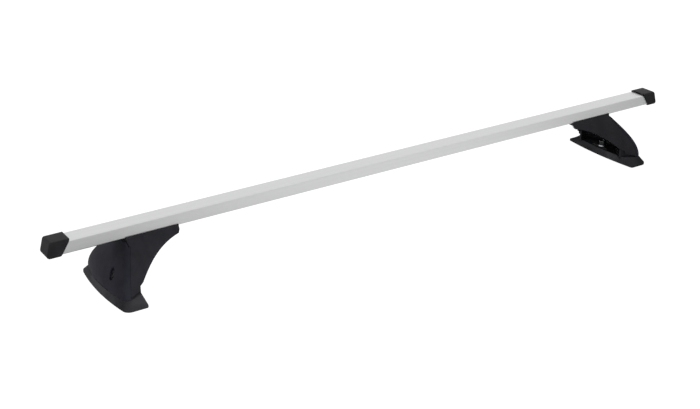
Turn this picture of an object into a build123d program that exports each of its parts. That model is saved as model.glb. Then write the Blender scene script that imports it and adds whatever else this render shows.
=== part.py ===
"""Roof rack crossbar: a rectangular bar on two lockable moulded legs with rubber foot pads.

Millimetres. X runs along the bar, Y is the car's direction of travel, Z is up.
The origin is on the roof, under the middle of the bar. The right leg is modelled in place,
and the left leg is the same leg turned half round about Z.
"""

import os
from math import atan2, cos, hypot, pi, sin, sqrt

from build123d import *

# Bar and end caps
overall_length = 1200.0
bar_width = 30.0
bar_height = 20.0
bar_wall = 2.0
bar_corner = 2.0
ride_height = 83.0
slot_mouth = 9.0
slot_width = 18.0
slot_height = 6.5
cap_nose = 8.0
cap_proud = 2.4
cap_end_slope = 7.0
cap_skirt_top = 37.0
cap_skirt_bottom = 21.0
cap_round = 4.5
cap_plug_length = 25.0
cap_fit = 0.1

# Leg: place on the bar, outer form and walls
leg_inset = 120.0
leg_run = 86.0
foot_reach = 28.8
foot_width = 153.0
face_radius = 250.0
ridge_round = 8.0
crest_round = 4.5
flare_run = 125.0
lip_wall = 1.3
lip_height = 2.5
slide_clearance = 0.2
leg_wall = 3.5
deck_thickness = 5.0
tip_height = 10.0
tip_lean = 2.5
arch_radius = 150.0
arch_knee_run = 81.3
arch_knee_rise = 15.5
arch_step_run = 88.5
arch_step_rise = 12.0
arch_foot_run = 90.0
arch_foot_rise = 6.5
rib_thickness = 2.5
rib_depth = 7.0
rib_run = 30.0
rib_spacing = 24.0
loft_levels = 6

# Rubber foot pad
pad_rim = 13.0
pad_floor = 8.0
pad_wall = 6.0
pad_heel_wall = 3.0
pad_fit = 0.2
pad_width = 170.0
pad_edge = 3.0
pad_toe = 2.5
pad_toe_bow = 7.8
pad_toe_round = 12.0
pad_heel_in = 5.4
pad_heel_bow = 5.4
pad_heel_lean = 0.9
pad_heel_round = 4.0
pad_boss_bore = 18.0
tread_pitch = 24.0
tread_width = 2.5
tread_depth = 1.2
tread_border = 6.0

# Leg base and folded bracket
base_floor = 4.0
base_wall = 3.5
base_rise = 34.0
bracket_sheet = 4.0
bracket_bend = 5.0
bracket_top_width = 24.0
bracket_foot_width = 38.0
bracket_tip_run = 9.0
bracket_bend_run = 75.0
bracket_foot_run = 113.0
window_width = 18.0
window_length = 26.0

# Fasteners
bolt_size = 8.0
bolt_play = 1.0
tee_spacing = 36.0
tee_tip_run = 22.0
tee_head = 15.0
tee_head_thickness = 4.5
tee_tail = 3.0
nut_flats = 13.0
nut_height = 8.0
nut_flange = 17.9
nut_flange_thickness = 2.0
thread_fit = 0.05
mount_bolt_out = 6.0
mount_neck = 7.0
mount_head = 13.0
mount_head_height = 8.0
mount_socket = 6.0
mount_socket_depth = 4.0
mount_tip_lift = 0.6
washer_diameter = 16.0
washer_thickness = 1.6
washer_fit = 0.2

# Cover, its hinge bead and its parting line
cover_wall = 2.5
cover_flange = 7.0
cover_gap = 0.4
cover_top_drop = 3.8
flange_top_drop = 8.8
hinge_in = 0.5
hinge_drop = 4.8
bead_radius = 2.6
bead_length = 25.0
bead_fit = 0.08
bead_end_gap = 0.5
nose_overhang = 0.4
cover_setback = 1.5
slit_length = 45.0
slit_height = 1.8
slit_y = 6.0
cover_rib_y = 46.0
cover_rib_depth = 5.0
cover_rib_thickness = 2.0
cover_rib_low = 20.0
cover_rib_high = 46.0

# Lock
lock_y = 28.5
lock_z = 39.5
recess_width = 10.4
recess_length = 19.0
recess_depth = 3.0
recess_wall = 2.0
recess_lean = 24.0
barrel_diameter = 8.0
barrel_fit = 0.05
barrel_head = 9.6
barrel_head_thickness = 1.8
keyway_width = 1.4
keyway_length = 6.0
keyway_depth = 1.0
boss_diameter = 13.0
cam_reach = 18.0
cam_width = 9.0
cam_thickness = 2.0
cam_gap = 0.6
tang_size = 5.2
tang_fit = 0.05
lock_screw_head = 7.0
lock_screw_head_height = 1.5
lock_screw_size = 3.0
lock_screw_length = 8.0

# Levels and places that follow from the sizes above
bar_top = ride_height + bar_height
bar_end = overall_length / 2 - cap_nose
slot_roof = ride_height + bar_wall + slot_height
deck_top = ride_height - slide_clearance
deck_under = deck_top - deck_thickness
top_half = bar_width / 2 + slide_clearance + lip_wall
crest_x = overall_length / 2 - leg_inset
tip_x = crest_x - leg_run
foot_half = foot_width / 2
arch_knee = (tip_x + arch_knee_run, pad_rim + arch_knee_rise)
arch_step = (tip_x + arch_step_run, pad_rim + arch_step_rise)
arch_foot = (tip_x + arch_foot_run, pad_rim + arch_foot_rise)
pad_heel_x = crest_x - pad_heel_in
mount_bolt_x = crest_x + mount_bolt_out
base_top = pad_floor + base_floor
bracket_foot_top = base_top + bracket_sheet
hinge_x = crest_x - hinge_in
hinge_z = deck_top - hinge_drop
cover_top = deck_top - cover_top_drop
flange_top = deck_top - flange_top_drop
nose_x = hinge_x + nose_overhang
far = overall_length


def profile_slab(profile, half_width):
    """Thicken a face drawn in X and Z equally to both sides of the leg's middle plane."""
    return extrude(Plane.XZ * profile, amount=half_width, both=True)


def disc(x, y, low, high, diameter):
    """Upright cylinder between two heights."""
    return Pos(x, y, low) * extrude(Circle(diameter / 2), amount=high - low)


def spread(z):
    """Share of the leg's outward step at a height: a quarter sine from the deck down to the pad's rim."""
    return sin(pi / 2 * (deck_top - z) / (deck_top - pad_rim))


def ridge(z):
    """X and half width of the edge between the cover's face and a side wall, at a height."""
    share = spread(z)
    return crest_x + foot_reach * share, top_half + (foot_half - top_half) * share


def face_x(z, y):
    """X of the cover's curved outer face."""
    ridge_x, ridge_y = ridge(z)
    return ridge_x - sqrt(face_radius**2 - ridge_y**2) + sqrt(face_radius**2 - y**2)


def wall_y(z, x):
    """Half width of the leg at a side wall, which closes in evenly from the ridge towards the tip."""
    ridge_x, ridge_y = ridge(z)
    return top_half + (ridge_y - top_half) * (1 - (ridge_x - x) / flare_run)


def leg_section(z, inset=0.0):
    """Level section of the leg: bowed face, rounded ridges and side walls that close in towards the tip."""
    ridge_x, ridge_y = ridge(z)
    tail_y = wall_y(z, tip_x)
    bow = ThreePointArc((ridge_x, -ridge_y), (face_x(z, 0), 0), (ridge_x, ridge_y))
    walls = Polyline((ridge_x, ridge_y), (tip_x, tail_y), (tip_x, -tail_y), (ridge_x, -ridge_y))
    outline = make_face(bow.edges() + walls.edges())
    rounding = crest_round + (ridge_round - crest_round) * spread(z)
    outline = fillet(outline.vertices().group_by(Axis.X)[-1], rounding)
    if inset:
        outline = offset(outline, -inset, kind=Kind.INTERSECTION)
    return Pos(0, 0, z) * outline


def leg_form(low, high, inset=0.0):
    """Solid of the leg's outer form between two heights, drawn in by an even inset."""
    step = (high - low) / (loft_levels - 1)
    return loft([leg_section(low + step * i, inset) for i in range(loft_levels)])


def arch_cutter():
    """Space under the concave inboard edge, its knee and the side walls' slanted bottom edge."""
    tip_low = deck_top - tip_height
    arch = RadiusArc((tip_x + tip_lean, tip_low), arch_knee, arch_radius)
    below = Polyline(
        arch_knee,
        arch_step,
        arch_foot,
        (ridge(pad_rim)[0], pad_rim),
        (far, pad_rim),
        (far, -pad_rim),
        (tip_x - leg_run, -pad_rim),
        (tip_x - leg_run, deck_under),
        (tip_x, deck_under),
        (tip_x + tip_lean, tip_low),
    )
    return profile_slab(make_face(arch.edges() + below.edges()), far)


def cover_zone(gap, low, top):
    """Space outboard of the parting line, which follows the ridge up to the hinge and steps out there."""
    heights = [low + (flange_top + gap - low) * i / 4 for i in range(5)]
    parting = Spline([(ridge(z)[0] - cover_flange - gap, z) for z in heights])
    start, end = parting @ 0, parting @ 1
    step_x = nose_x if gap else hinge_x + cover_setback
    rest = Polyline(end, (step_x, end.Y), (step_x, top), (far, top), (far, start.Y), start)
    return profile_slab(make_face(parting.edges() + rest.edges()), far)


def base_plan(inset, heel_inset):
    """Plan of the leg's base inside the pad's rim, cut off straight at the heel."""
    heel = pad_heel_x + pad_heel_lean + heel_inset
    plan = leg_section(pad_rim, inset)
    return Pos(0, 0, -pad_rim) * plan & Pos(heel + far / 2, 0) * Rectangle(far, far)


def crossbar():
    """Thin-walled extruded bar with a channel for the T-bolts along its underside."""
    middle = Pos(0, ride_height + bar_height / 2)
    section = middle * RectangleRounded(bar_width, bar_height, bar_corner)
    section -= middle * Rectangle(bar_width - 2 * bar_wall, bar_height - 2 * bar_wall)
    channel_height = slot_roof + bar_wall - ride_height - bar_wall / 2
    section += Pos(0, ride_height + (bar_wall + channel_height) / 2) * Rectangle(
        slot_width + 2 * bar_wall, channel_height
    )
    section -= Pos(0, slot_roof - slot_height / 2) * Rectangle(slot_width, slot_height)
    section -= Pos(0, ride_height + bar_wall / 2) * Rectangle(slot_mouth, bar_wall)
    return extrude(Plane.YZ * section, amount=bar_end, both=True)


def end_cap():
    """Push-on cap with slanted skirt and end face, and a plug in the bar's upper chamber."""
    low, high = ride_height - cap_proud, bar_top + cap_proud
    slant = hypot(cap_end_slope, high - low)
    rounded_off = cap_round * ((slant + cap_end_slope) / (high - low) - 1)
    end_x = overall_length / 2 + rounded_off
    outline = Polyline(
        (end_x - cap_skirt_bottom, low),
        (end_x, low),
        (end_x - cap_end_slope, high),
        (end_x - cap_skirt_top, high),
        close=True,
    )
    block = profile_slab(make_face(outline), bar_width / 2 + cap_proud)
    nose = [e for e in block.edges() if e.bounding_box().min.X > bar_end - cap_fit]
    block = fillet(block.edges().filter_by(Axis.X) + nose, cap_round)
    sleeve = Rectangle(bar_width + 2 * cap_fit, bar_height + 2 * cap_fit)
    sleeve = Plane.YZ * (Pos(0, ride_height + bar_height / 2) * sleeve)
    block -= Pos(bar_end, 0, 0) * extrude(sleeve, amount=-cap_skirt_top)
    chamber_floor = slot_roof + bar_wall + cap_fit
    plug_height = bar_top - bar_wall - cap_fit - chamber_floor
    plug = Rectangle(bar_width - 2 * bar_wall - 2 * cap_fit, plug_height)
    plug = Plane.YZ * (Pos(0, chamber_floor + plug_height / 2) * plug)
    return block + Pos(bar_end, 0, 0) * extrude(plug, amount=-cap_plug_length)


def tee_places():
    """X of the two T-bolts of a leg."""
    return [tip_x + tee_tip_run, tip_x + tee_tip_run + tee_spacing]


def wall_rib(x):
    """Upright rib inside a side wall, clear of the bracket's narrow end."""
    heights = [pad_rim + (deck_under - pad_rim) * i / 6 for i in range(7)]
    clear = bracket_top_width / 2 + bolt_play
    outer = [(wall_y(z, x) - leg_wall / 2, z) for z in heights]
    inner = [(max(clear, wall_y(z, x) - leg_wall - rib_depth), z) for z in heights]
    rib = Plane.YZ * make_face(Polyline(*outer, *reversed(inner), close=True))
    return Pos(x, 0, 0) * extrude(rib, amount=rib_thickness / 2, both=True)


def leg_base():
    """Tub that stands in the pad, open at the heel, with sides that rise into the leg's side walls."""
    inset = pad_wall + pad_fit
    base = extrude(base_plan(inset, pad_heel_wall + pad_fit), amount=base_rise - pad_floor)
    hollow = extrude(base_plan(inset + base_wall, -base_wall), amount=base_rise - base_top)
    return Pos(0, 0, pad_floor) * (base - Pos(0, 0, base_floor) * hollow)


def leg_shell():
    """Moulded leg: saddle deck with lips, ribbed side walls, base inside the pad and the hinge groove."""
    shell = leg_form(pad_rim, deck_top)
    shell -= leg_form(base_top, deck_under, leg_wall)
    ribs = [wall_rib(tip_x + rib_run + rib_spacing * i) for i in range(2)]
    shell += ribs + [mirror(rib, Plane.XZ) for rib in ribs]
    shell -= arch_cutter()
    mouth = Box(4 * leg_wall, bar_width, tip_height, align=(Align.CENTER, Align.CENTER, Align.MAX))
    shell -= Pos(tip_x, 0, deck_under) * mouth
    shell += leg_base()
    lip = Box(leg_run, lip_wall, lip_height + deck_thickness, align=(Align.MIN, Align.MAX, Align.MAX))
    lip = Pos(tip_x, top_half, deck_top + lip_height) * lip
    shell += [lip, mirror(lip, Plane.XZ)]
    knuckle_depth = hinge_drop + 2 * bead_radius - deck_thickness
    knuckle = Box(
        nose_x - hinge_x + 2 * bead_radius,
        bead_length + 2 * leg_wall,
        knuckle_depth,
        align=(Align.MAX, Align.CENTER, Align.MAX),
    )
    shell += Pos(nose_x, 0, deck_under) * knuckle
    shell -= cover_zone(cover_gap, pad_rim - pad_fit, deck_top + lip_height)
    groove_length = bead_length + 2 * bead_end_gap
    groove = Cylinder(bead_radius + bead_fit, groove_length, rotation=(90, 0, 0))
    shell -= Pos(hinge_x, 0, hinge_z) * groove
    for x in tee_places():
        shell -= disc(x, 0, deck_under, deck_top, bolt_size + bolt_play)
    shell -= disc(mount_bolt_x, 0, pad_floor, base_top, bolt_size + bolt_play)
    return shell


def pad_outline(toe_x, corner_x, corner_y, heel_x, heel_y, toe_round):
    """Plan of the pad: bowed toe and heel joined by straight ends with rounded corners."""
    heel_end = heel_x + pad_heel_bow
    toe = ThreePointArc((corner_x, -corner_y), (toe_x, 0), (corner_x, corner_y))
    heel = ThreePointArc((heel_end, heel_y), (heel_x, 0), (heel_end, -heel_y))
    ends = [Line(toe @ 1, heel @ 0), Line(heel @ 1, toe @ 0)]
    outline = make_face(toe.edges() + ends[0].edges() + heel.edges() + ends[1].edges())
    outline = fillet(outline.vertices().sort_by(Axis.X)[-2:], toe_round)
    return fillet(outline.vertices().sort_by(Axis.X)[:2], pad_heel_round)


def tread():
    """Shallow grooves across the pad's sole, between a border at the toe and one at the heel."""
    low = pad_heel_x + pad_heel_bow + tread_border
    high = face_x(pad_rim, pad_width / 2) - tread_border
    groove = Box(high - low, tread_width, tread_depth, align=(Align.MIN, Align.CENTER, Align.MIN))
    places = [(i + 0.5) * tread_pitch for i in range(3)]
    return [Pos(low, y * side, 0) * groove for y in places for side in (-1, 1)]


def foot_pad():
    """Rubber boot with sloped ends, a pocket for the leg's base and a bore round the bolt's free end."""
    ridge_x, ridge_y = ridge(pad_rim)
    toe_x = face_x(pad_rim, 0)
    heel_top = pad_heel_x + pad_heel_lean
    heel_y = wall_y(pad_rim, heel_top + pad_heel_bow)
    sole_toe = toe_x + pad_toe
    sole_y = pad_width / 2
    sole = pad_outline(sole_toe, sole_toe - pad_toe_bow, sole_y, pad_heel_x, sole_y, pad_toe_round)
    rim = pad_outline(toe_x, ridge_x, ridge_y, heel_top, heel_y, ridge_round)
    pad = loft([Pos(0, 0, pad_edge) * sole, Pos(0, 0, pad_rim) * rim], ruled=True)
    pad += extrude(sole, amount=pad_edge)
    pad -= Pos(0, 0, pad_floor) * extrude(base_plan(pad_wall, pad_heel_wall), amount=pad_rim)
    pad -= tread()
    return pad - disc(mount_bolt_x, 0, 0, pad_floor, pad_boss_bore)


def bracket_line():
    """Corners of the bracket's middle line, seen along the car: deck flange, strut and foot flange."""
    top_z = deck_under - bracket_sheet / 2
    foot_z = base_top + bracket_sheet / 2
    heel = pad_heel_x + pad_heel_lean + pad_heel_wall + 2 * pad_fit
    return [
        (tip_x + bracket_tip_run, top_z),
        (tip_x + bracket_bend_run, top_z),
        (tip_x + bracket_foot_run, foot_z),
        (heel, foot_z),
    ]


def strut_tilt():
    """Lean of the bracket's strut from the upright, in radians."""
    _, top, foot, _ = bracket_line()
    return atan2(foot[0] - top[0], top[1] - foot[1])


def strut_plane(x, y, z):
    """Plane through a point, square to the lock: its X runs across the car's length and its Y up the strut."""
    tilt = strut_tilt()
    return Plane(origin=(x, y, z), x_dir=(0, 1, 0), z_dir=(cos(tilt), 0, sin(tilt)))


def leg_bracket():
    """Folded steel strap from the deck down to the foot, narrow under the deck, with a tool window."""
    corners = bracket_line()
    path = Plane.XZ * FilletPolyline(*corners, radius=bracket_bend)
    strap = Plane(origin=path @ 0, x_dir=(0, 1, 0), z_dir=path % 0) * Rectangle(bracket_foot_width, bracket_sheet)
    bracket = sweep(strap, path=path)
    narrow, wide = bracket_top_width / 2, bracket_foot_width / 2
    waist_x, hip_x = corners[1][0] - bracket_bend, corners[1][0] + bracket_bend
    plan = Polyline(
        (tip_x, -narrow),
        (waist_x, -narrow),
        (hip_x, -wide),
        (far, -wide),
        (far, wide),
        (hip_x, wide),
        (waist_x, narrow),
        (tip_x, narrow),
        close=True,
    )
    bracket &= extrude(make_face(plan), amount=ride_height)
    middle = [(a + b) / 2 for a, b in zip(corners[1], corners[2])]
    window = strut_plane(middle[0], 0, middle[1]) * (Rot(0, 0, 90) * SlotOverall(window_length, window_width))
    bracket -= extrude(window, amount=bracket_sheet, both=True)
    for x in tee_places():
        bracket -= disc(x, 0, deck_under - bracket_sheet, deck_under, bolt_size + bolt_play)
    return bracket - disc(mount_bolt_x, 0, base_top, bracket_foot_top, bolt_size + bolt_play)


def tee_bolts():
    """Two T-head bolts that hang in the bar's slot."""
    head_low = ride_height + bar_wall + slide_clearance
    tail = deck_under - bracket_sheet - nut_height - tee_tail
    bolts = []
    for x in tee_places():
        head = Pos(x, 0, head_low) * Box(
            tee_head, tee_head, tee_head_thickness, align=(Align.CENTER, Align.CENTER, Align.MIN)
        )
        bolts.append(head + disc(x, 0, tail, head_low + tee_head_thickness / 2, bolt_size))
    return Compound(children=bolts)


def flange_nuts():
    """Two flanged hexagon nuts that clamp the bracket and the deck to the bar."""
    seat = deck_under - bracket_sheet
    nuts = []
    for x in tee_places():
        hexagon = RegularPolygon(nut_flats / 2, 6, major_radius=False)
        nut = Pos(x, 0, seat - nut_height) * extrude(hexagon, amount=nut_height)
        nut += disc(x, 0, seat - nut_flange_thickness, seat, nut_flange)
        nuts.append(nut - disc(x, 0, seat - nut_height, seat, bolt_size + 2 * thread_fit))
    return Compound(children=nuts)


def mounting_bolt():
    """Captive socket-head bolt with a waisted neck in the foot and its free end inside the pad's bore."""
    seat = bracket_foot_top + washer_thickness
    bolt = disc(mount_bolt_x, 0, mount_tip_lift, pad_floor, bolt_size)
    bolt += disc(mount_bolt_x, 0, pad_floor, seat, mount_neck)
    bolt += disc(mount_bolt_x, 0, seat, seat + mount_head_height, mount_head)
    socket = Pos(mount_bolt_x, 0, seat + mount_head_height) * RegularPolygon(mount_socket / 2, 6, major_radius=False)
    return bolt - extrude(socket, amount=-mount_socket_depth)


def mounting_washer():
    """Plain washer under the mounting bolt's head."""
    top = bracket_foot_top + washer_thickness
    washer = disc(mount_bolt_x, 0, bracket_foot_top, top, washer_diameter)
    return washer - disc(mount_bolt_x, 0, bracket_foot_top, top, bolt_size + 2 * washer_fit)


def lock_axis():
    """Plane on the cover's face at the lock, with its Z along the barrel and pointing out."""
    return strut_plane(face_x(lock_z, lock_y), lock_y, lock_z)


def cam_depth():
    """Depth of the lock cam's outer face below the cover's face, just behind the strut."""
    tilt = strut_tilt()
    corner = bracket_line()[1]
    across = (face_x(lock_z, lock_y) - corner[0]) * cos(tilt) + (lock_z - corner[1]) * sin(tilt)
    return across + bracket_sheet / 2 + cam_gap


def lock_stub(sketch, shallow, deep):
    """Solid of a sketch on the lock's axis between two depths below the cover's face."""
    return lock_axis() * (Pos(0, 0, -deep) * extrude(sketch, amount=deep - shallow))


def cover_rib():
    """Upright stiffener behind the cover's face, at its place to one side."""
    heights = [cover_rib_low + (cover_rib_high - cover_rib_low) * i / 5 for i in range(6)]
    outer = [(face_x(z, cover_rib_y) - cover_wall / 2, z) for z in heights]
    inner = [(face_x(z, cover_rib_y) - cover_wall - cover_rib_depth, z) for z in heights]
    rib = Plane.XZ * make_face(Polyline(*outer, *reversed(inner), close=True))
    return Pos(0, cover_rib_y, 0) * extrude(rib, amount=cover_rib_thickness / 2, both=True)


def leg_cover():
    """Thin bowed cover with side flanges, hinge bead, ribs, lock recess and boss, and a finger slit."""
    outer = leg_form(pad_rim, deck_top)
    skin = outer - leg_form(pad_rim, deck_top, cover_wall)
    cover = skin & cover_zone(0, pad_rim + cover_gap, cover_top)
    bead = Pos(hinge_x, 0, hinge_z) * Cylinder(bead_radius, bead_length, rotation=(90, 0, 0))
    stiffener = cover_rib() & outer
    cover += [bead, stiffener, mirror(stiffener, Plane.XZ)]
    upright = Rot(0, 0, 90 + recess_lean)
    pocket = upright * SlotOverall(recess_length, recess_width)
    housing = upright * SlotOverall(recess_length + 2 * recess_wall, recess_width + 2 * recess_wall)
    boss_end = cam_depth() - cam_gap
    cover += lock_stub(housing, -recess_depth, recess_depth + recess_wall) & outer
    cover += lock_stub(Circle(boss_diameter / 2), recess_depth, boss_end)
    cover -= lock_stub(pocket, -2 * recess_depth, recess_depth)
    cover -= lock_stub(Circle(barrel_diameter / 2 + barrel_fit), 0, boss_end)
    slit = Box(2 * cover_flange, slit_length, 2 * (slit_height + cover_gap))
    return cover - Pos(face_x(pad_rim, 0), slit_y, pad_rim) * slit


def lock_barrel():
    """Key barrel: slotted head in the recess, shank through the boss and a square tang for the cam."""
    head_top = recess_depth - barrel_head_thickness
    barrel = lock_stub(Circle(barrel_head / 2), head_top, recess_depth - barrel_fit)
    barrel += lock_stub(Circle(barrel_diameter / 2), head_top, cam_depth())
    barrel += lock_stub(Rectangle(tang_size, tang_size), head_top, cam_depth() + cam_thickness)
    barrel -= lock_stub(Rectangle(keyway_width, keyway_length), head_top, head_top + keyway_depth)
    thread = Circle(lock_screw_size / 2 + thread_fit)
    tail = cam_depth() + cam_thickness
    return barrel - lock_stub(thread, tail - lock_screw_length, tail)


def lock_cam():
    """Flat tongue on the barrel's tang, pointing up when unlocked."""
    reach = cam_reach - cam_width / 2
    tongue = Circle(cam_width / 2) + Pos(0, reach / 2) * Rectangle(cam_width, reach)
    tongue += Pos(0, reach) * Circle(cam_width / 2)
    hole = tang_size + 2 * tang_fit
    return lock_stub(tongue - Rectangle(hole, hole), cam_depth(), cam_depth() + cam_thickness)


def lock_screw():
    """Screw that holds the cam on the barrel."""
    tail = cam_depth() + cam_thickness
    screw = lock_stub(Circle(lock_screw_head / 2), tail, tail + lock_screw_head_height)
    shank_top = tail - lock_screw_length + lock_screw_size / 2
    return screw + lock_stub(Circle(lock_screw_size / 2), shank_top, tail + lock_screw_head_height / 2)


def save(name, shape):
    """Write one piece under its own name."""
    export_step(shape, os.path.join("parts", name + ".step"))


os.makedirs("parts", exist_ok=True)
save("crossbar", crossbar())
handed_pieces = {
    "end_cap": end_cap(),
    "leg_shell": leg_shell(),
    "foot_pad": foot_pad(),
    "leg_bracket": leg_bracket(),
    "tee_bolts": tee_bolts(),
    "flange_nuts": flange_nuts(),
    "mounting_bolt": mounting_bolt(),
    "mounting_washer": mounting_washer(),
    "leg_cover": leg_cover(),
    "lock_barrel": lock_barrel(),
    "lock_cam": lock_cam(),
    "lock_screw": lock_screw(),
}
for name, piece in handed_pieces.items():
    save("right_" + name, piece)
    save("left_" + name, Rot(0, 0, 180) * piece)
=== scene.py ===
"""Finishes, small details and studio for a roof rack crossbar, laid out as an add-on."""

import math

import bmesh
import bpy
from mathutils import Matrix, Vector


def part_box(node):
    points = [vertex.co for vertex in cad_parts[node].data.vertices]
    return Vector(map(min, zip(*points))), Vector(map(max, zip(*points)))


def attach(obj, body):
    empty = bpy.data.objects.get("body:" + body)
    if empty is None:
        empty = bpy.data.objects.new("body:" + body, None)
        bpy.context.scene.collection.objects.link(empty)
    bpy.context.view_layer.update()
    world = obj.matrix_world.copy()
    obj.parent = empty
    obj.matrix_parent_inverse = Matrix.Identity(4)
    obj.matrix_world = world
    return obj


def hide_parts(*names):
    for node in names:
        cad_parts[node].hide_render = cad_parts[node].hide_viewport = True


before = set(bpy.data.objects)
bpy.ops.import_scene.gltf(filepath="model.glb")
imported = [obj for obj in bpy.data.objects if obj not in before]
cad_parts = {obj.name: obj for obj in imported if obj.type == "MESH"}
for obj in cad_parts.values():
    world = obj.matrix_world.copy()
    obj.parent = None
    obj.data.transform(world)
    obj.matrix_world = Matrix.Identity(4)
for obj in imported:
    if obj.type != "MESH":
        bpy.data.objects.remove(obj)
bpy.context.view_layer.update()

bl_info = {
    "name": "Roof rack crossbar",
    "version": (1, 0, 0),
    "blender": (4, 5, 0),
    "location": "View3D > Sidebar > Crossbar",
    "description": "Dresses the crossbar's pieces and sets a studio round them",
    "category": "Object",
}

SIDES = ("left", "right")
MM = 0.001


def linear(code):
    """Linear colour of an sRGB hex value, by the formula of the sRGB standard."""
    channels = [int(code[i : i + 2], 16) / 255 for i in (0, 2, 4)]
    return tuple(c / 12.92 if c <= 0.04045 else ((c + 0.055) / 1.055) ** 2.4 for c in channels)


def colour(name, description, code):
    """Colour property that starts from an sRGB hex value."""
    return bpy.props.FloatVectorProperty(
        name=name, description=description, subtype="COLOR", min=0, max=1, default=linear(code)
    )


def length(name, description, millimetres):
    """Length property that starts from a size in millimetres."""
    return bpy.props.FloatProperty(
        name=name, description=description, unit="LENGTH", min=0, precision=5, default=millimetres * MM
    )


def angle(name, description, degrees):
    """Angle property that starts from degrees."""
    return bpy.props.FloatProperty(
        name=name, description=description, subtype="ANGLE", default=math.radians(degrees)
    )


def share(name, description, default):
    """Factor property from 0 to 1."""
    return bpy.props.FloatProperty(
        name=name, description=description, subtype="FACTOR", min=0, max=1, default=default
    )


def power(name, description, watts):
    """Power property of a studio light."""
    return bpy.props.FloatProperty(name=name, description=description, unit="POWER", default=watts)


class RackBarSettings(bpy.types.PropertyGroup):
    """Finish of the extruded bar."""

    aluminium: colour("Aluminium", "Colour of the anodised bar", "DADBDA")
    shade: colour("Die line shade", "Colour between the bar's die lines", "CECFCF")
    line_spacing: length("Die line spacing", "Distance between lines left by the extrusion die", 1.6)
    roughness: share("Roughness", "Roughness of the anodised skin", 0.42)


class RackMouldingSettings(bpy.types.PropertyGroup):
    """Finish of the moulded plastic and rubber pieces."""

    nylon: colour("Nylon", "Colour of the leg shells", "202024")
    cover: colour("Cover", "Colour of the leg covers", "23232A")
    cap: colour("Cap", "Colour of the end caps", "1D1D1F")
    rubber: colour("Rubber", "Colour of the foot pads", "242426")
    grain: length("Grain", "Size of the moulded grain", 1.1)
    edge: length("Edge", "Rounding of moulded edges", 1.2)
    sheen: share("Sheen", "Strength of the plastic's reflection", 0.1)


class RackMetalSettings(bpy.types.PropertyGroup):
    """Finish of the brackets, fasteners and locks."""

    zinc: colour("Zinc", "Colour of the plated fasteners", "C9CCD0")
    black_zinc: colour("Black zinc", "Colour of the mounting bolts", "2A2B2D")
    coat: colour("Powder coat", "Colour of the steel brackets", "131314")
    lock: colour("Lock", "Colour of the lock barrels", "1A1A1C")
    edge: length("Edge", "Rounding of metal edges", 0.4)
    # The worn edge setting is the width of a painted highlight: bright steel colour along the mounting
    # bolts' edges.
    highlight_edge_width: length("Worn edge", "Width of the bright wear on the mounting bolts' edges", 1)
    bolt: length("Bolt size", "Thread diameter of the T-bolts", 8)
    pitch: length("Thread pitch", "Pitch of the T-bolts' thread", 1.25)
    head_thickness: length("Head thickness", "Thickness of the T-bolts' heads", 4.5)


class RackStageSettings(bpy.types.PropertyGroup):
    """Camera, floor and light."""

    camera_place: bpy.props.FloatVectorProperty(
        name="Camera place", description="Where the camera stands", subtype="TRANSLATION", unit="LENGTH",
        default=(-1.1124, -1.6158, 0.8905),
    )
    yaw: angle("Yaw", "Turn of the view from +Y towards +X", 32.637)
    pitch: angle("Pitch", "Angle of the view below the horizon", 24.075)
    roll: angle("Roll", "Turn of the camera about its view", -0.38)
    lens: bpy.props.FloatProperty(
        name="Lens", description="Focal length in millimetres", min=1, default=65.42
    )
    floor: colour("Floor", "Colour of the floor and the background", "FFFFFF")
    floor_size: length("Floor size", "Width of the floor", 40000)
    floor_gap: length("Floor gap", "Space between the pads' soles and the floor", 0.2)
    ambient: bpy.props.FloatProperty(
        name="Ambient", description="Strength of the even light", min=0, default=0.27
    )
    key: power("Key", "Power of the high light behind the near leg", 9)
    side: power("Side", "Power of the low light on the left", 4)
    front: power("Front", "Power of the low light in front of the near leg", 3.8)
    fill: power("Fill", "Power of the high light on the right", 3)
    rear: power("Rear", "Power of the light behind the far leg", 14)


def add(tree, kind, inputs=None, **settings):
    """Add a node with its settings, and set or link its inputs."""
    node = tree.nodes.new(kind)
    for name, value in settings.items():
        setattr(node, name, value)
    for name, value in (inputs or {}).items():
        if isinstance(value, bpy.types.NodeSocket):
            tree.links.new(value, node.inputs[name])
        else:
            node.inputs[name].default_value = value
    return node


def material(name):
    """New empty material and its node tree."""
    new = bpy.data.materials.new(name)
    new.use_nodes = True
    new.node_tree.nodes.clear()
    return new, new.node_tree


def opaque(rgb):
    """Colour with full alpha."""
    return (*rgb, 1.0)


def anodised_aluminium():
    """Satin anodised extrusion: an even silver with faint lines along the bar from the die."""
    bar = bpy.context.scene.rack_bar
    new, tree = material("anodised_aluminium")
    place = add(tree, "ShaderNodeTexCoord").outputs["Object"]
    # Real die lines lie about 0.1 mm apart. They are drawn coarser, so that they show.
    across = 1 / bar.line_spacing
    # Along the bar a line changes only one and a half times in a metre.
    along = 1.5
    stretched = add(tree, "ShaderNodeMapping", {"Vector": place, "Scale": (along, across, across)})
    lines = add(
        tree, "ShaderNodeTexNoise",
        {"Vector": stretched.outputs["Vector"], "Scale": 1.0, "Detail": 2.0},
    ).outputs["Fac"]
    tone = add(
        tree, "ShaderNodeMix",
        {"Factor": lines, "A": opaque(bar.shade), "B": opaque(bar.aluminium)}, data_type="RGBA",
    )
    spread = 0.05
    rough = add(
        tree, "ShaderNodeMapRange",
        {"Value": lines, "To Min": bar.roughness - spread, "To Max": bar.roughness + spread},
    )
    bump = add(tree, "ShaderNodeBump", {"Height": lines, "Strength": 0.05, "Distance": 0.05 * MM})
    shader = add(
        tree, "ShaderNodeBsdfPrincipled",
        {
            "Base Color": tone.outputs["Result"],
            "Metallic": 1.0,
            "Roughness": rough.outputs["Result"],
            "Normal": bump.outputs["Normal"],
        },
    )
    add(tree, "ShaderNodeOutputMaterial", {"Surface": shader.outputs["BSDF"]})
    return new


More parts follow.
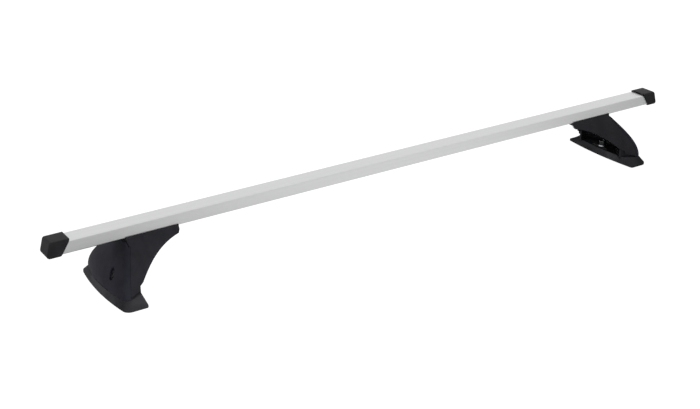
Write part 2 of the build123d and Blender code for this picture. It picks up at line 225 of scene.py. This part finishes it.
def moulded(name, rgb, roughness, grain, depth, edge, sheen, wear_and_painted_light=1.35, patch=27 * MM, seed=0.0):
    """Black skin with a fine grain: a dull sheen broken up by pits, with soft edges and paler patches.

    The patches are lighter than the rest by a given factor. Patch is their size, and seed picks where they
    lie.
    """
    new, tree = material(name)
    place = add(tree, "ShaderNodeTexCoord").outputs["Object"]
    # The real grain is about 0.1 mm wide. It is drawn coarser, so that it shows.
    pits = add(
        tree, "ShaderNodeTexNoise",
        {"Vector": place, "Scale": 1 / grain, "Detail": 3.0, "Roughness": 0.6},
    ).outputs["Fac"]
    # Broad paler patches: random rubbed tone on most pieces. On the foot pads the seed puts them where
    # light falls, as painted light.
    clouds = add(
        tree, "ShaderNodeTexNoise", {"Vector": place, "W": seed, "Scale": 1 / patch, "Detail": 2.0},
        noise_dimensions="4D",
    )
    rubbed_and_painted_light = add(
        tree, "ShaderNodeMapRange",
        {"Value": clouds.outputs["Fac"], "From Min": 0.35, "From Max": 0.65},
    )
    haze = 0.002
    paler = tuple(wear_and_painted_light * c + haze for c in rgb)
    tone = add(
        tree, "ShaderNodeMix",
        {"Factor": rubbed_and_painted_light.outputs["Result"], "A": opaque(rgb), "B": opaque(paler)}, data_type="RGBA",
    )
    spread = 0.07
    rough = add(
        tree, "ShaderNodeMapRange",
        {"Value": pits, "To Min": roughness - spread, "To Max": roughness + spread},
    )
    rounded = add(tree, "ShaderNodeBevel", {"Radius": edge}, samples=8)
    bump = add(
        tree, "ShaderNodeBump",
        {"Height": pits, "Strength": 0.35, "Distance": depth, "Normal": rounded.outputs["Normal"]},
    )
    shader = add(
        tree, "ShaderNodeBsdfPrincipled",
        {
            "Base Color": tone.outputs["Result"],
            "Roughness": rough.outputs["Result"],
            "Specular IOR Level": sheen,
            "Normal": bump.outputs["Normal"],
        },
    )
    add(tree, "ShaderNodeOutputMaterial", {"Surface": shader.outputs["BSDF"]})
    return new


def painted_highlight_plate(name, rgb, highlight_colour, roughness, edge):
    """Dark plated metal with a painted highlight: a bright steel colour along its edges."""
    new, tree = material(name)
    flat = add(tree, "ShaderNodeNewGeometry").outputs["Normal"]
    rounded = add(tree, "ShaderNodeBevel", {"Radius": edge}, samples=8).outputs["Normal"]
    turn = add(tree, "ShaderNodeVectorMath", {0: flat, 1: rounded}, operation="DOT_PRODUCT")
    # The turn is a cosine: the painted highlight starts where an edge is rounded by 8 degrees and is full
    # at 26.
    highlight_mask = add(
        tree, "ShaderNodeMapRange",
        {"Value": turn.outputs["Value"], "From Min": 0.99, "From Max": 0.9},
    )
    tone = add(
        tree, "ShaderNodeMix",
        {"Factor": highlight_mask.outputs["Result"], "A": opaque(rgb), "B": opaque(highlight_colour)}, data_type="RGBA",
    )
    shader = add(
        tree, "ShaderNodeBsdfPrincipled",
        {"Base Color": tone.outputs["Result"], "Metallic": 1.0, "Roughness": roughness, "Normal": rounded},
    )
    add(tree, "ShaderNodeOutputMaterial", {"Surface": shader.outputs["BSDF"]})
    return new


def plated(name, rgb, roughness):
    """Plated metal: a mirror with a faint, uneven blur from the plating bath."""
    new, tree = material(name)
    place = add(tree, "ShaderNodeTexCoord").outputs["Object"]
    # The plating's crystals are far finer. They are drawn coarser, so that they show.
    crystal = 0.8 * MM
    mottle = add(tree, "ShaderNodeTexNoise", {"Vector": place, "Scale": 1 / crystal, "Detail": 2.0})
    spread = 0.06
    rough = add(
        tree, "ShaderNodeMapRange",
        {"Value": mottle.outputs["Fac"], "To Min": roughness - spread, "To Max": roughness + spread},
    )
    shader = add(
        tree, "ShaderNodeBsdfPrincipled",
        {"Base Color": opaque(rgb), "Metallic": 1.0, "Roughness": rough.outputs["Result"]},
    )
    add(tree, "ShaderNodeOutputMaterial", {"Surface": shader.outputs["BSDF"]})
    return new


def dress(node, finish):
    """Give a CAD piece its finish."""
    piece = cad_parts[node]
    piece.data.materials.clear()
    piece.data.materials.append(finish)


class RACK_OT_bar(bpy.types.Operator):
    """Finish the bar"""

    bl_idname = "rack.bar"
    bl_label = "Bar"

    def execute(self, context):
        dress("crossbar", anodised_aluminium())
        return {"FINISHED"}


class RACK_OT_end_caps(bpy.types.Operator):
    """Finish the end caps"""

    bl_idname = "rack.end_caps"
    bl_label = "End caps"

    def execute(self, context):
        looks = context.scene.rack_moulding
        # Injection-moulded polypropylene looks waxy and evenly dark.
        finish = moulded(
            "polypropylene", looks.cap, roughness=0.5,
            grain=looks.grain, depth=0.06 * MM, edge=3 * looks.edge, sheen=looks.sheen,
        )
        for side in SIDES:
            dress(side + "_end_cap", finish)
        return {"FINISHED"}


class RACK_OT_legs(bpy.types.Operator):
    """Finish the leg shells and covers"""

    bl_idname = "rack.legs"
    bl_label = "Legs and covers"

    def execute(self, context):
        looks = context.scene.rack_moulding
        # Glass-filled nylon from an eroded mould looks dry and coarse.
        shell = moulded(
            "glass_filled_nylon", looks.nylon, roughness=0.52,
            grain=looks.grain, depth=0.08 * MM, edge=looks.edge, sheen=looks.sheen,
        )
        # A satin cover of nylon looks a little smoother and bluer.
        cover = moulded(
            "satin_nylon", looks.cover, roughness=0.45,
            grain=looks.grain, depth=0.05 * MM, edge=looks.edge, sheen=0.4 * looks.sheen,
        )
        for side in SIDES:
            dress(side + "_leg_shell", shell)
            dress(side + "_leg_cover", cover)
        return {"FINISHED"}


class RACK_OT_pads(bpy.types.Operator):
    """Finish the foot pads"""

    bl_idname = "rack.pads"
    bl_label = "Foot pads"

    def execute(self, context):
        looks = context.scene.rack_moulding
        # Moulded EPDM rubber looks matt. Its broad paler patches are painted light: their seed puts one
        # where light falls on the near pad.
        rubber = moulded(
            "epdm_rubber", looks.rubber, roughness=0.72,
            grain=looks.grain, depth=0.1 * MM, edge=2 * looks.edge, sheen=0.2 * looks.sheen,
            wear_and_painted_light=3.6, patch=60 * MM, seed=30.9,
        )
        for side in SIDES:
            dress(side + "_foot_pad", rubber)
        return {"FINISHED"}


class RACK_OT_metalwork(bpy.types.Operator):
    """Finish the brackets, fasteners and locks"""

    bl_idname = "rack.metalwork"
    bl_label = "Metalwork"

    def execute(self, context):
        looks = context.scene.rack_metal
        # Bright zinc plate on steel looks bluish white, and a little blurred.
        zinc = plated("bright_zinc_plate", looks.zinc, roughness=0.28)
        # Black zinc plate looks dark and smooth. The bright line along its edges is a painted highlight.
        black_zinc = painted_highlight_plate(
            "black_zinc_painted_highlight", looks.black_zinc, looks.zinc, roughness=0.35, edge=looks.highlight_edge_width
        )
        # Powder coat on steel looks an even satin black, with a slight orange peel.
        coat = moulded(
            "black_powder_coat", looks.coat, roughness=0.5,
            grain=1.5 * MM, depth=0.05 * MM, edge=looks.edge, sheen=0.2,
        )
        # Black chrome over a satin base looks dark, with broad, dim reflections.
        lock = plated("black_chrome_plate", looks.lock, roughness=0.45)
        for side in SIDES:
            dress(side + "_leg_bracket", coat)
            dress(side + "_lock_barrel", lock)
            dress(side + "_mounting_bolt", black_zinc)
            for node in ("mounting_washer", "flange_nuts", "lock_cam", "lock_screw"):
                dress(f"{side}_{node}", zinc)
        return {"FINISHED"}


def threaded_rod(mesh, x, y, low, high, radius, pitch):
    """Add a rod with a helical thread and a chamfered lower end, closed at both ends."""
    around = 24
    levels_per_turn = 8
    depth = 0.6 * pitch
    levels = math.ceil((high - low) / pitch * levels_per_turn)
    rings = []
    for level in range(levels + 1):
        z = low + (high - low) * level / levels
        ring = []
        for k in range(around):
            flank = abs(2 * ((z / pitch - k / around) % 1) - 1)
            reach = min(radius - depth * flank, radius - pitch + z - low)
            turn = math.tau * k / around
            ring.append(mesh.verts.new((x + reach * math.cos(turn), y + reach * math.sin(turn), z)))
        rings.append(ring)
    for lower, upper in zip(rings, rings[1:]):
        for k in range(around):
            j = (k + 1) % around
            mesh.faces.new((lower[k], lower[j], upper[j], upper[k]))
    mesh.faces.new(reversed(rings[0]))
    mesh.faces.new(rings[-1])


class RACK_OT_tee_bolts(bpy.types.Operator):
    """Build the T-bolts with their threads"""

    bl_idname = "rack.tee_bolts"
    bl_label = "T-bolts"

    def execute(self, context):
        looks = context.scene.rack_metal
        # The same bright zinc looks a little duller on a rolled thread.
        zinc = plated("bright_zinc_thread", looks.zinc, roughness=0.3)
        for side in SIDES:
            node = side + "_tee_bolts"
            low, high = (Vector(corner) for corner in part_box(node))
            head = high.y - low.y
            head_low = high.z - looks.head_thickness
            block = Matrix.Diagonal((head, head, high.z - head_low, 1))
            mesh = bmesh.new()
            for x in (low.x + head / 2, high.x - head / 2):
                place = Matrix.Translation((x, 0, (head_low + high.z) / 2))
                bmesh.ops.create_cube(mesh, size=1, matrix=place @ block)
                threaded_rod(mesh, x, 0, low.z, head_low, looks.bolt / 2, looks.pitch)
            data = bpy.data.meshes.new(node + "_threaded")
            mesh.to_mesh(data)
            mesh.free()
            data.materials.append(zinc)
            bolts = bpy.data.objects.new(node + "_threaded", data)
            context.scene.collection.objects.link(bolts)
            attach(bolts, side + "_leg")
            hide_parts(node)
        return {"FINISHED"}


def looked_at(tree, path):
    """Factor that is 1 for what is seen directly, in a reflection or through a clear piece."""
    seen = add(
        tree, "ShaderNodeMath", {0: path["Is Camera Ray"], 1: path["Is Glossy Ray"]}, operation="MAXIMUM"
    )
    seen = add(
        tree, "ShaderNodeMath", {0: seen.outputs[0], 1: path["Is Transmission Ray"]}, operation="MAXIMUM"
    )
    return seen.outputs[0]


def white_floor(rgb):
    """Seamless paper: plain white to the eye with a trace of shadow, and a soft pool of light in gloss."""
    new, tree = material("seamless_paper")
    path = add(tree, "ShaderNodeLightPath").outputs
    glow_share = 0.8
    amount = add(
        tree, "ShaderNodeMath", {0: looked_at(tree, path), 1: glow_share}, operation="MULTIPLY"
    )
    place = add(tree, "ShaderNodeTexCoord").outputs["Object"]
    pool_centre = (0.16, -0.2, 0)
    away = add(tree, "ShaderNodeVectorMath", {0: place, 1: pool_centre}, operation="DISTANCE")
    pool = add(
        tree, "ShaderNodeMapRange",
        {"Value": away.outputs["Value"], "From Min": 0.15, "From Max": 0.75, "To Min": 1.1, "To Max": 0.54},
        interpolation_type="SMOOTHSTEP",
    )
    # Over 1, so that the paper is still white where its diffuse part is in shadow.
    seen_glow = 1.22
    bright = add(
        tree, "ShaderNodeMix", {0: path["Is Glossy Ray"], 2: seen_glow, 3: pool.outputs["Result"]}
    )
    paper = add(tree, "ShaderNodeBsdfDiffuse", {"Color": opaque(rgb)})
    glow = add(tree, "ShaderNodeEmission", {"Color": opaque(rgb), "Strength": bright.outputs[0]})
    mix = add(tree, "ShaderNodeMixShader", {0: amount.outputs[0], 1: paper.outputs[0], 2: glow.outputs[0]})
    add(tree, "ShaderNodeOutputMaterial", {"Surface": mix.outputs[0]})
    return new


def white_world(rgb, ambient):
    """White surround for the eye and for reflections, with an even light of the given strength."""
    world = bpy.data.worlds.new("studio")
    world.use_nodes = True
    tree = world.node_tree
    tree.nodes.clear()
    path = add(tree, "ShaderNodeLightPath").outputs
    strength = add(
        tree, "ShaderNodeMapRange", {"Value": looked_at(tree, path), "To Min": ambient, "To Max": 1.0}
    )
    sky = add(tree, "ShaderNodeBackground", {"Color": opaque(rgb), "Strength": strength.outputs["Result"]})
    add(tree, "ShaderNodeOutputWorld", {"Surface": sky.outputs[0]})
    return world


def soft_light(name, place, target, width, height, watts):
    """Rectangular studio light that faces a point. It lights surfaces, and no gloss shows it."""
    lamp = bpy.data.lights.new(name, "AREA")
    lamp.shape = "RECTANGLE"
    lamp.size = width
    lamp.size_y = height
    lamp.energy = watts
    light = bpy.data.objects.new(name, lamp)
    light.location = place
    light.rotation_euler = (Vector(target) - Vector(place)).to_track_quat("-Z", "Y").to_euler()
    light.visible_glossy = False
    light.visible_camera = False
    bpy.context.scene.collection.objects.link(light)


def photo_camera(stage):
    """Camera at the photograph's viewing angle."""
    lens = bpy.data.cameras.new("photo_view")
    lens.sensor_fit = "HORIZONTAL"
    lens.sensor_width = 36.0
    lens.lens = stage.lens
    lens.clip_end = 100.0
    camera = bpy.data.objects.new("photo_view", lens)
    turn, dip = stage.yaw, stage.pitch
    ahead = Vector((math.sin(turn) * math.cos(dip), math.cos(turn) * math.cos(dip), -math.sin(dip)))
    level = Vector((math.cos(turn), -math.sin(turn), 0))
    upright = level.cross(ahead)
    right = level * math.cos(stage.roll) + upright * math.sin(stage.roll)
    top = upright * math.cos(stage.roll) - level * math.sin(stage.roll)
    aim = Matrix((right, top, -ahead)).transposed().to_4x4()
    camera.matrix_world = Matrix.Translation(stage.camera_place) @ aim
    bpy.context.scene.collection.objects.link(camera)
    bpy.context.scene.camera = camera


class RACK_OT_stage(bpy.types.Operator):
    """Set up the floor, the light and the camera"""

    bl_idname = "rack.stage"
    bl_label = "Stage"

    def execute(self, context):
        stage = context.scene.rack_stage
        half = stage.floor_size / 2
        level = -stage.floor_gap
        corners = [(-half, -half, level), (half, -half, level), (half, half, level), (-half, half, level)]
        sheet = bpy.data.meshes.new("floor")
        sheet.from_pydata(corners, [], [(0, 1, 2, 3)])
        sheet.materials.append(white_floor(stage.floor))
        floor = bpy.data.objects.new("floor", sheet)
        context.scene.collection.objects.link(floor)
        context.scene.world = white_world(stage.floor, stage.ambient)
        near_leg = (-0.5, 0, 0.03)
        near_pad = (-0.5, -0.06, 0)
        near_half = (-0.3, 0, 0.05)
        far_half = (0.3, 0, 0.03)
        soft_light("key", (-1.4, 1.1, 1.4), near_leg, width=0.5, height=0.4, watts=stage.key)
        soft_light("side", (-2, 0.2, 0.3), near_leg, width=0.5, height=0.3, watts=stage.side)
        soft_light("front", (-0.4, -0.8, 0.3), near_pad, width=0.5, height=0.3, watts=stage.front)
        soft_light("fill", (0.8, -0.6, 1.2), near_half, width=0.8, height=0.8, watts=stage.fill)
        soft_light("rear", (1.4, 1.4, 0.6), far_half, width=0.8, height=0.5, watts=stage.rear)
        photo_camera(stage)
        context.scene.view_settings.view_transform = "Standard"
        return {"FINISHED"}


class RACK_PT_panel(bpy.types.Panel):
    """Sidebar panel with the crossbar's settings and steps"""

    bl_idname = "RACK_PT_panel"
    bl_label = "Roof rack crossbar"
    bl_space_type = "VIEW_3D"
    bl_region_type = "UI"
    bl_category = "Crossbar"

    def draw(self, context):
        for group in SETTINGS:
            settings = getattr(context.scene, group)
            box = self.layout.box()
            for name in settings.__annotations__:
                box.prop(settings, name)
        for step in STEPS:
            self.layout.operator(step.bl_idname)


SETTINGS = {
    "rack_bar": RackBarSettings,
    "rack_moulding": RackMouldingSettings,
    "rack_metal": RackMetalSettings,
    "rack_stage": RackStageSettings,
}
STEPS = (
    RACK_OT_stage,
    RACK_OT_bar,
    RACK_OT_end_caps,
    RACK_OT_legs,
    RACK_OT_pads,
    RACK_OT_metalwork,
    RACK_OT_tee_bolts,
)
CLASSES = (*SETTINGS.values(), *STEPS, RACK_PT_panel)


def register():
    """Register the classes and hang the settings on the scene."""
    for entry in CLASSES:
        bpy.utils.register_class(entry)
    for name, group in SETTINGS.items():
        setattr(bpy.types.Scene, name, bpy.props.PointerProperty(type=group))


def unregister():
    """Take the settings and classes away again."""
    for name in SETTINGS:
        delattr(bpy.types.Scene, name)
    for entry in reversed(CLASSES):
        bpy.utils.unregister_class(entry)


def main():
    """Dress the crossbar."""
    register()
    for step in STEPS:
        group, name = step.bl_idname.split(".")
        getattr(getattr(bpy.ops, group), name)()


if __name__ == "__main__":
    main()
